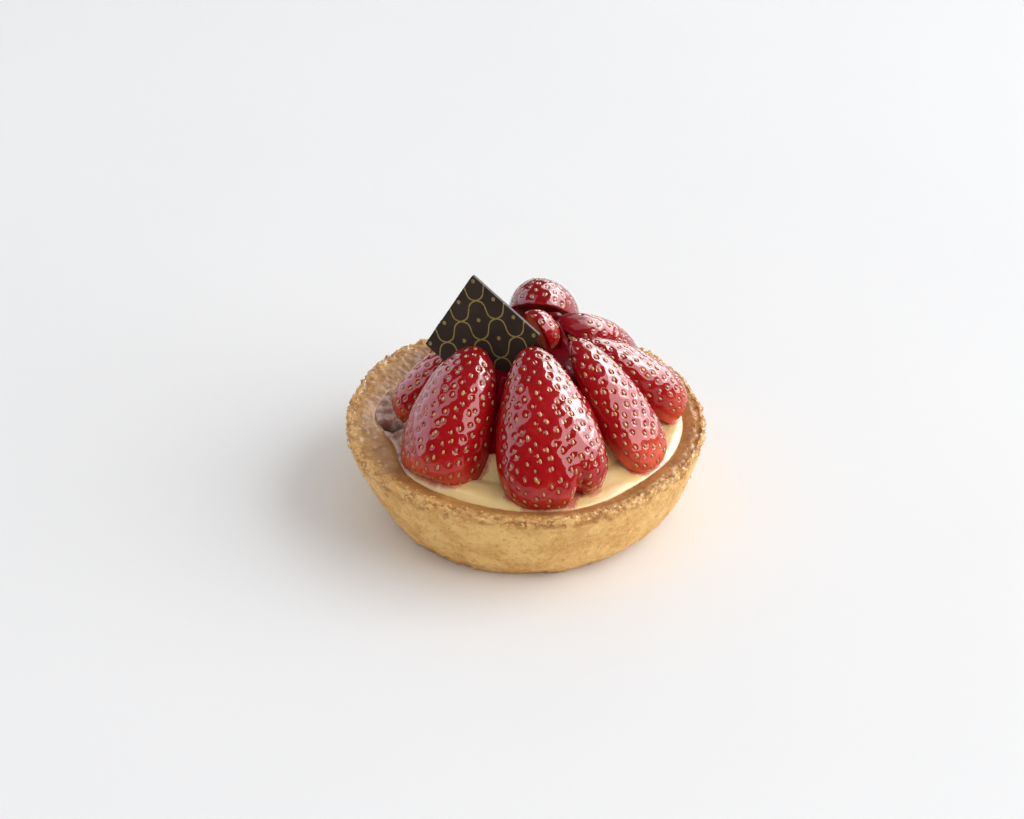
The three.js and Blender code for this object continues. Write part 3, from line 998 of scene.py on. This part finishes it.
def cream_gap(points):
    """How far into the gap at the left each point lies, from 0 to 1: a soft-edged slot along X."""
    slot = smooth(2.4, 0.5, np.abs(points[..., 1] - GAP_Y))
    return slot * smooth(-40, -37, points[..., 0]) * smooth(-30, -32, points[..., 0])


def to_fruit(rings, skins):
    """How far each of a grid's points is from the berries' cut edges and shoulders, by every other point."""
    rims = [part.reshape(-1, 3) for skin in skins for part in (skin[::3, [0, -1]], skin[:40:3, ::6])]
    near = distances(rings[::2, ::2], np.concatenate(rims)).min(-1)
    return np.repeat(np.repeat(near, 2, 0), 2, 1)[:rings.shape[0], :rings.shape[1]]


def spread_cream(skins, look):
    """The filling: the cream's height over a polar grid, closed under the surface.

    Ripples and a fuller lobe at the front are added near its edge, and a gap is sunk into it at the left,
    marked for painted shade.
    Where glaze veils it, round the left, its lip is lower and rougher."""
    angle = TURN * np.arange(CREAM_COLUMNS)[None, :] / CREAM_COLUMNS
    edge = cream_edge(angle) + 0.3
    radius = edge * (1 - (1 - (np.arange(CREAM_ROWS)[:, None] + 1) / CREAM_ROWS) ** 1.4)
    near_edge = smooth(33, 37, radius)
    flat = from_polar(radius, angle, 0 * radius)
    ripples = 0.3 * cloudy(flat, 8, 2, 81) + 0.1 * cloudy(flat, 2.5, 2, 83)
    lobe = 0.8 * bell(np.degrees(angle), *LOBE)
    height = cream_top(radius, edge) + near_edge * out_of_level(angle)
    height = height + (ripples + lobe) * smooth(31, 34, radius) * smooth(0.1, 2.2, edge - radius)
    gap = cream_gap(flat)
    veil = smooth(*VEIL_START, np.degrees(angle)) * smooth(*VEIL_END, np.degrees(angle)) + 0 * radius
    lip = CREAM_SWELL * smooth(0, 3, edge - radius) * smooth(32, 34, radius)
    height = height + veil * (0.4 * near_edge * cloudy(flat, 3, 3, 87) - 0.75 * lip)
    height = height - GAP_DEPTH * gap - 0.5 * smooth(0.4, 0, edge - radius)
    depth = np.linspace(0.15, 1, 4)[:, None]
    side_height = mix(CREAM_HEIGHT - 1.2, FLOOR_THICKNESS + 0.3, depth)
    side = from_polar(mix(edge - 0.5, FLOOR_RADIUS - 0.9, depth), angle, side_height)
    rings = np.concatenate([from_polar(radius, angle, height), side])
    on_mound = smooth(29, 26, np.hypot(rings[..., 0], rings[..., 1]))
    fields = {
        "stain": np.maximum(0.8 * smooth(2.2, 0.3, to_fruit(rings, skins)), on_mound),
        "veil": np.concatenate([veil, 0 * side[..., 0]]),
        # The gap is marked for the finish's painted shade.
        "hollow": np.concatenate([gap, 0 * side[..., 0]]),
    }
    attributes = {name: capped(grid, 1, 0) for name, grid in fields.items()}
    top = np.array([0, 0, cream_top(0.0, MEAN_CREAM_EDGE)])
    mesh = loft(top, rings, np.array([0, 0, FLOOR_THICKNESS + 0.3]))
    dress(add_piece("custard_filling", mesh, cream_finish(look), attributes), "pastry_cream", "cream")


def height_map(surfaces):
    """A square map, for each surface, of the highest of its points in each cell of CELL mm."""
    count = int(2 * REACH / CELL) + 1
    maps = np.full((len(surfaces), count, count), -1.0)
    for own, points in zip(maps, surfaces):
        cells = np.rint((points[..., :2] + REACH) / CELL).astype(int).reshape(-1, 2)
        np.maximum.at(own, (cells[:, 0], cells[:, 1]), points[..., 2].ravel())
    return maps


def shifted(grid, i, j):
    """The grid moved by whole cells, wrapping at its empty edges."""
    return np.roll(grid, (i, j), axis=(0, 1))


def swept(grid, radius, choose, bend=0):
    """What choose makes of the grid's values within a radius in mm of each cell.

    bend adds that share of how high the underside of a ball of the radius stands above its lowest point."""
    reach = int(radius / CELL)
    result = grid
    for i, j in itertools.product(range(-reach, reach + 1), repeat=2):
        square = radius**2 - (i * CELL) ** 2 - (j * CELL) ** 2
        if square >= 0:
            result = choose(result, shifted(grid, i, j) + bend * (radius - math.sqrt(square)))
    return result


def rolled_over(heights, radius):
    """The lowest surface that a ball reaches as it rolls over a height map: narrower hollows stay bridged."""
    return swept(swept(heights, radius, np.maximum, -1), radius, np.minimum, 1)


def blurred(grid, times):
    """The grid averaged with its four neighbours, over and over."""
    for _ in range(times):
        around = sum(shifted(grid, *step) for step in ((1, 0), (-1, 0), (0, 1), (0, -1)))
        grid = mix(grid, around / 4, 0.6)
    return grid


def pour_glaze(skins, look):
    """Glaze in the clefts between berries and over the mound's top, filled down into the cream.

    In a cleft it is the surface of a ball that rolls over the fruit and can't reach down, a larger ball near
    the top. It gets shallower down the mound and sinks under the fruit where the cleft is shallow. Elsewhere
    on the mound it is a coat on the cream."""
    maps = height_map(skins)
    line = np.linspace(-REACH, REACH, maps.shape[1])
    radius = np.hypot(*np.meshgrid(line, line, indexing="ij"))
    cream = cream_top(radius, MEAN_CREAM_EDGE)
    coat = cream + GLAZE_COAT
    ball = look.pool_radius / MM
    fruit = rolled_over(np.maximum(cream, maps.max(0)), 0.7)
    filled = mix(rolled_over(fruit, ball), rolled_over(fruit, 3 * ball), smooth(19, 14, radius))
    filled = np.minimum(filled, fruit + DEEPEST_POOL * smooth(35, 23, radius))
    between = sum(swept(own > 0, CLEFT_REACH, np.logical_or) for own in maps) > 1
    share = smooth(0.15, 0.9, filled - fruit) * smooth(*POOLS_END, radius) * between
    share = blurred(share, 3)
    pooled = swept(share > 0.05, 0.3, np.logical_or)
    surface = mix(swept(fruit, 0.9, np.minimum) - 0.35, filled - 0.12, share)
    surface = blurred(np.where(pooled, np.maximum(surface, coat), coat), 4)
    inside = pooled | (radius < CROWN_RADIUS)
    cells = inside[:-1, :-1] & inside[1:, :-1] & inside[1:, 1:] & inside[:-1, 1:]
    mesh = slab(line, surface, np.minimum(surface, cream) - GLAZE_SLAB, cells)
    dress(add_piece("glaze_pools", mesh, glaze_finish(look)), "strawberry")


def slab(line, surface, bottom, cells):
    """A closed slab over the chosen cells of a square grid: top, underside and a wall along each open edge.

    An edge is open where only one cell has it. line holds the grid's coordinates along either side."""
    count = len(line)
    number = np.arange(count * count).reshape(count, count)
    i, j = np.nonzero(cells)
    top = np.stack([number[i, j], number[i + 1, j], number[i + 1, j + 1], number[i, j + 1]], axis=-1)
    under = top[:, ::-1] + count * count
    edges = np.concatenate([top[:, [k, (k + 1) % 4]] for k in range(4)])
    key = edges[:, 0] * count * count + edges[:, 1]
    back = edges[:, 1] * count * count + edges[:, 0]
    a, b = edges[~np.isin(key, back)].T
    wall = np.stack([b, a, a + count * count, b + count * count], axis=-1)
    x, y = np.meshgrid(line, line, indexing="ij")
    points = np.concatenate([np.stack([x, y, z], axis=-1).reshape(-1, 3) for z in (surface, bottom)])
    used, quads = np.unique(np.concatenate([top, under, wall]), return_inverse=True)
    return points[used], quads.reshape(-1, 4), np.zeros((0, 3), dtype=int)


# ---------------- the plaque


def cut_plaque(look):
    """The plaque: a rounded square outline carried over a thin slab's profile with softened edges.

    Each row of the profile scales the outline, grows it outwards and sets its depth under the face."""
    left = unit(PLAQUE_LEFT_EDGE)
    facing = unit(np.cross(left, PLAQUE_RIGHT_EDGE))
    right = np.cross(facing, left)
    half = PLAQUE_SIDE / 2
    along = np.linspace(-1, 1, 61)[:-1]
    side = np.stack([np.ones_like(along), along], axis=-1) * (half - PLAQUE_CORNER)
    quarter = np.array([[0, -1], [1, 0]])
    outline = np.concatenate([side @ np.linalg.matrix_power(quarter, k).T for k in range(4)])
    outward = outline / (half - PLAQUE_CORNER)
    outward = unit(np.sign(outward) * np.abs(outward) ** 40)

    inset = PLAQUE_CORNER - PLAQUE_SOFT
    bend, shares = np.linspace(0, math.pi / 2, 5), np.linspace(0.07, 1, 15)
    front, back = PLAQUE_SOFT * (np.cos(bend) - 1), PLAQUE_SOFT * (1 - np.sin(bend)) - PLAQUE_THICKNESS
    profile = [(share, share * inset, 0) for share in shares]
    profile += [(1, inset + PLAQUE_SOFT * math.sin(b), z) for b, z in zip(bend[1:], front[1:])]
    profile += [(1, inset + PLAQUE_SOFT * math.cos(b), z) for b, z in zip(bend, back)]
    profile += [(share, share * inset, -PLAQUE_THICKNESS) for share in shares[-2::-1]]
    scale, grow, depth = np.array(profile).T[:, :, None, None]
    flat = outline * scale + outward * grow
    rings = np.concatenate([flat, depth + 0 * flat[..., :1]], axis=-1)
    points, *faces = loft(np.zeros(3), rings, np.array([0, 0, -PLAQUE_THICKNESS]))
    attributes = {"across": points[:, 0], "down": points[:, 1], "face": smooth(-0.2, -0.1, points[:, 2])}
    centre = PLAQUE_TOP + (left + right) * half - 0.02 * facing
    mesh = (inside_box(centre + points @ np.stack([left, right, facing])), *faces)
    piece = add_piece("chocolate_square", mesh, plaque_finish(look), attributes)
    dress(piece, "chocolate", "chocolate_plaque")


# ---------------- the stage


def direction(azimuth, elevation):
    """A unit vector from an azimuth, anticlockwise from +X, and a height above the horizon, in degrees."""
    a, e = math.radians(azimuth), math.radians(elevation)
    return np.array([math.cos(e) * math.cos(a), math.cos(e) * math.sin(a), math.sin(e)])


def aim(thing, towards):
    """Turns a camera or light so that its -Z axis points along a direction and +Y is as near up as can be."""
    thing.rotation_euler = Vector(towards).to_track_quat("-Z", "Y").to_euler()


def softbox(name, azimuth, elevation, distance, size, radiance, tint):
    """An area light, in metres, that faces the tart. The key lights only matt surfaces, the rest only gloss.

    A light's power is its radiance times pi times its area."""
    lamp = bpy.data.lights.new(name, "AREA")
    lamp.shape = "RECTANGLE"
    lamp.size, lamp.size_y = size
    lamp.energy = radiance * math.pi * size[0] * size[1]
    lamp.color = tint
    light = bpy.data.objects.new(name, lamp)
    light.location = distance * direction(azimuth, elevation) + np.array([0, 0, 0.03])
    aim(light, -direction(azimuth, elevation))
    light.visible_diffuse = name == "key"
    light.visible_glossy = name != "key"
    bpy.context.scene.collection.objects.link(light)


def place_camera():
    """The camera, on a line from the target up and towards -Y."""
    lens = bpy.data.cameras.new("camera")
    lens.lens = CAMERA_LENS
    lens.clip_start, lens.clip_end = 0.01, 20
    camera = bpy.data.objects.new("camera", lens)
    back = np.array([0, -math.cos(CAMERA_ELEVATION), math.sin(CAMERA_ELEVATION)])
    camera.location = (CAMERA_TARGET + CAMERA_DISTANCE * back) * MM
    aim(camera, -back)
    bpy.context.scene.collection.objects.link(camera)
    bpy.context.scene.camera = camera


def light_world(look):
    """A pale backdrop for the camera, a dim room in reflections and a brighter one for diffuse light."""
    world = Nodes(bpy.data.worlds.new("studio"))

    def background(colour, strength):
        """A plain background."""
        return world.node("ShaderNodeBackground", {}, {"Color": opaque(colour), "Strength": strength})

    def choice(ray, otherwise, shown):
        """One background for rays of a kind, and another for the rest."""
        seen = world.node("ShaderNodeLightPath", output=ray)
        return world.node("ShaderNodeMixShader", {}, {0: seen, 1: otherwise, 2: shown})

    room = choice("Is Glossy Ray", background(WHITE, look.fill), background(WHITE, look.room))
    seen = choice("Is Camera Ray", room, background(look.backdrop, 1.0))
    world.node("ShaderNodeOutputWorld", {}, {"Surface": seen})
    bpy.context.scene.world = world.owner


def lay_floor(look):
    """A wide flat sheet, a tenth of a millimetre under the case."""
    corners = np.array([[-1, -1, 0], [1, -1, 0], [1, 1, 0], [-1, 1, 0]]) * FLOOR_REACH - [0, 0, FLOOR_DROP]
    sheet = (corners, np.array([[0, 1, 2, 3]]), np.zeros((0, 3), int))
    add_piece("floor", sheet, floor_finish(look))


# ---------------- settings


def a_colour(name, description, default):
    """A colour property."""
    return bpy.props.FloatVectorProperty(
        name=name, description=description, default=default, subtype="COLOR", size=3, min=0, max=1
    )


def a_length(name, description, default):
    """A length property, in metres."""
    return bpy.props.FloatProperty(
        name=name, description=description, default=default, unit="LENGTH", min=0, precision=4
    )


def a_share(name, description, default, high=1.0):
    """A plain number property from 0 up."""
    return bpy.props.FloatProperty(
        name=name, description=description, default=default, subtype="FACTOR", min=0, max=high
    )


class CrustLook(bpy.types.PropertyGroup):
    """The pastry case's colours and shine."""

    pale: a_colour("Pale", "Colour of the least baked pastry", (0.86, 0.54, 0.2))
    golden: a_colour("Golden", "Colour of the well baked pastry", (0.6, 0.285, 0.07))
    # brown also paints the shade in the pastry's pores and in the ridge's crevices.
    brown: a_colour("Brown", "Colour of the ridge, pores and inner slope", (0.34, 0.125, 0.028))
    glaze: a_share("Glaze", "How wet the ridge and the inner slope look", 0.6)


class CreamLook(bpy.types.PropertyGroup):
    """The pastry cream's colours and shine."""

    colour: a_colour("Colour", "Colour of the cream", (0.92, 0.65, 0.27))
    pale: a_colour("Pale streaks", "Colour of its lighter streaks", (0.94, 0.75, 0.42))
    stain: a_colour("Stain", "Colour where juice has run into it", (0.62, 0.2, 0.12))
    veil: a_colour("Veil", "Colour where glaze has run over it", (0.28, 0.11, 0.07))
    cloud: a_colour("Cloud", "Colour where that glaze is thin", (0.66, 0.46, 0.38))
    # deep is painted shade: the dark of the gap in the cream.
    deep: a_colour("Hollows", "Colour in its hollows", (0.12, 0.05, 0.02))
    gloss: a_share("Gloss", "How wet the cream looks", 0.5)


class StrawberryLook(bpy.types.PropertyGroup):
    """The strawberries' sizes and colours, and the glaze over them."""

    ripe: a_colour("Ripe", "Colour of the ripe skin", (0.36, 0.004, 0.007))
    # dark also paints the shade in the dimples, on the bare end and in the pooled glaze.
    dark: a_colour("Dark", "Colour of the skin at the tip and in the dimples", (0.16, 0.001, 0.006))
    shoulder: a_colour("Shoulder", "Colour of the skin at the shoulder", (0.58, 0.04, 0.014))
    blush: a_colour("Blush", "Colour of the shoulder of the least ripe", (0.86, 0.15, 0.07))
    flesh: a_colour("Flesh", "Colour of the middle of the cut face", (1.0, 0.27, 0.1))
    seed: a_colour("Seed", "Colour of the seeds", (0.56, 0.25, 0.048))
    seed_brown: a_colour("Brown seed", "Colour of the brownest seeds", (0.34, 0.13, 0.03))
    # The pooled glaze colour is in part painted shade of the clefts.
    pool: a_colour("Pooled glaze", "Colour of the glaze between the berries", (0.2, 0.004, 0.01))
    translucence: a_share("Translucence", "How far light spreads under the skin", 0.06)
    seed_length: a_length("Seed length", "Length of a seed", 1.3 * MM)
    seed_spacing: a_length("Seed spacing", "Distance between neighbouring seeds", 3.1 * MM)
    pool_radius: a_length("Pool radius", "Radius of the ball that glaze-filled clefts fit", 0.9 * MM)


class PlaqueLook(bpy.types.PropertyGroup):
    """The chocolate plaque's colours and print."""

    chocolate: a_colour("Chocolate", "Colour of the chocolate", (0.03, 0.015, 0.008))
    bloom: a_colour("Bloom", "Colour of its faint bloom", (0.05, 0.028, 0.018))
    gold: a_colour("Gold", "Colour of the printed lines", (0.36, 0.25, 0.08))
    lattice: a_length("Lattice", "Distance between the printed lines", 7.0 * MM)
    line: a_length("Line", "Width of the printed lines", 0.3 * MM)


class StageLook(bpy.types.PropertyGroup):
    """The floor, the room and the lights."""

    floor: a_colour("Floor", "Colour of the floor", (0.915, 0.92, 0.93))
    backdrop: a_colour("Backdrop", "Colour above the horizon", (0.9, 0.9, 0.9))
    fill: a_share("Fill", "How bright the room is in shadows", 0.6, high=10)
    room: a_share("Room", "How bright the room is in reflections", 0.04, high=10)
    key: a_share("Key", "Radiance of the softbox at the right, on matt surfaces", 2.5, high=50)
    panel: a_share("Panel", "Radiance of its reflection", 5.6, high=50)
    window: a_share("Window", "Radiance of the window's reflection, further back", 7.0, high=50)
    pane: a_share("Pane", "Radiance of the window's brightest pane", 14.0, high=50)
    wall: a_share("Back wall", "Radiance of the back wall's reflection", 6.0, high=50)
    side: a_share("Side wall", "Radiance of the left wall's reflection", 2.5, high=50)


def a_group(kind, name, description):
    """A property that holds a group of settings."""
    return bpy.props.PointerProperty(type=kind, name=name, description=description)


class TartLook(bpy.types.PropertyGroup):
    """All the settings of the tart and its stage."""

    crust: a_group(CrustLook, "Crust", "The pastry case")
    cream: a_group(CreamLook, "Cream", "The pastry cream")
    strawberry: a_group(StrawberryLook, "Strawberries", "Fruit and glaze")
    plaque: a_group(PlaqueLook, "Plaque", "The chocolate plaque")
    stage: a_group(StageLook, "Stage", "Floor and lights")


# ---------------- operators and panel


class TART_OT_set_stage(bpy.types.Operator):
    """Places the camera, the lights, the room and the floor"""

    bl_idname = "tart.set_stage"
    bl_label = "Set the Stage"

    def execute(self, context):
        look = context.scene.tart.stage
        place_camera()
        light_world(look)
        for *place, setting, tint in SOFTBOXES:
            softbox(*place, getattr(look, setting), tint)
        lay_floor(look)
        context.scene.view_settings.view_transform = "Standard"
        return {"FINISHED"}


class TART_OT_bake_case(bpy.types.Operator):
    """Makes the shortcrust case and the crumbs on it"""

    bl_idname = "tart.bake_case"
    bl_label = "Bake the Case"

    def execute(self, context):
        bake_case(context.scene.tart.crust)
        return {"FINISHED"}


class TART_OT_lay_strawberries(bpy.types.Operator):
    """Makes the halved strawberries, the wedge and their seeds"""

    bl_idname = "tart.lay_strawberries"
    bl_label = "Lay the Strawberries"

    def execute(self, context):
        look = context.scene.tart.strawberry
        lay_berries(look)
        sow_seeds(look)
        return {"FINISHED"}


class TART_OT_spread_cream(bpy.types.Operator):
    """Makes the pastry cream that the strawberries lie on"""

    bl_idname = "tart.spread_cream"
    bl_label = "Spread the Cream"

    def execute(self, context):
        look = context.scene.tart
        spread_cream(domes(look.strawberry), look.cream)
        return {"FINISHED"}


class TART_OT_pour_glaze(bpy.types.Operator):
    """Makes the glaze between the strawberries and over the mound's top"""

    bl_idname = "tart.pour_glaze"
    bl_label = "Pour the Glaze"

    def execute(self, context):
        look = context.scene.tart.strawberry
        pour_glaze(domes(look), look)
        return {"FINISHED"}


class TART_OT_cut_plaque(bpy.types.Operator):
    """Makes the chocolate plaque"""

    bl_idname = "tart.cut_plaque"
    bl_label = "Cut the Plaque"

    def execute(self, context):
        cut_plaque(context.scene.tart.plaque)
        return {"FINISHED"}


OPERATORS = (
    TART_OT_set_stage,
    TART_OT_bake_case,
    TART_OT_lay_strawberries,
    TART_OT_spread_cream,
    TART_OT_pour_glaze,
    TART_OT_cut_plaque,
)


class TART_PT_panel(bpy.types.Panel):
    """The tart's settings and the steps that make it"""

    bl_idname = "TART_PT_panel"
    bl_label = "Strawberry Tart"
    bl_space_type = "VIEW_3D"
    bl_region_type = "UI"
    bl_category = "Tart"

    def draw(self, context):
        look = context.scene.tart
        for group in look.bl_rna.properties:
            if group.type == "POINTER" and group.identifier != "rna_type":
                box = self.layout.box()
                box.label(text=group.name)
                settings = getattr(look, group.identifier)
                for setting in settings.bl_rna.properties:
                    if setting.identifier not in {"rna_type", "name"}:
                        box.prop(settings, setting.identifier)
        for operator in OPERATORS:
            self.layout.operator(operator.bl_idname)


CLASSES = (CrustLook, CreamLook, StrawberryLook, PlaqueLook, StageLook, TartLook, *OPERATORS, TART_PT_panel)


def register():
    """Adds the settings, the operators and the panel."""
    for made in CLASSES:
        bpy.utils.register_class(made)
    bpy.types.Scene.tart = a_group(TartLook, "Tart", "Settings of the strawberry tart")


def unregister():
    """Takes them away again."""
    del bpy.types.Scene.tart
    for made in reversed(CLASSES):
        bpy.utils.unregister_class(made)


def main():
    """Makes the whole tart."""
    register()
    bpy.ops.tart.set_stage()
    bpy.ops.tart.bake_case()
    bpy.ops.tart.lay_strawberries()
    bpy.ops.tart.spread_cream()
    bpy.ops.tart.pour_glaze()
    bpy.ops.tart.cut_plaque()


if __name__ == "__main__":
    main()
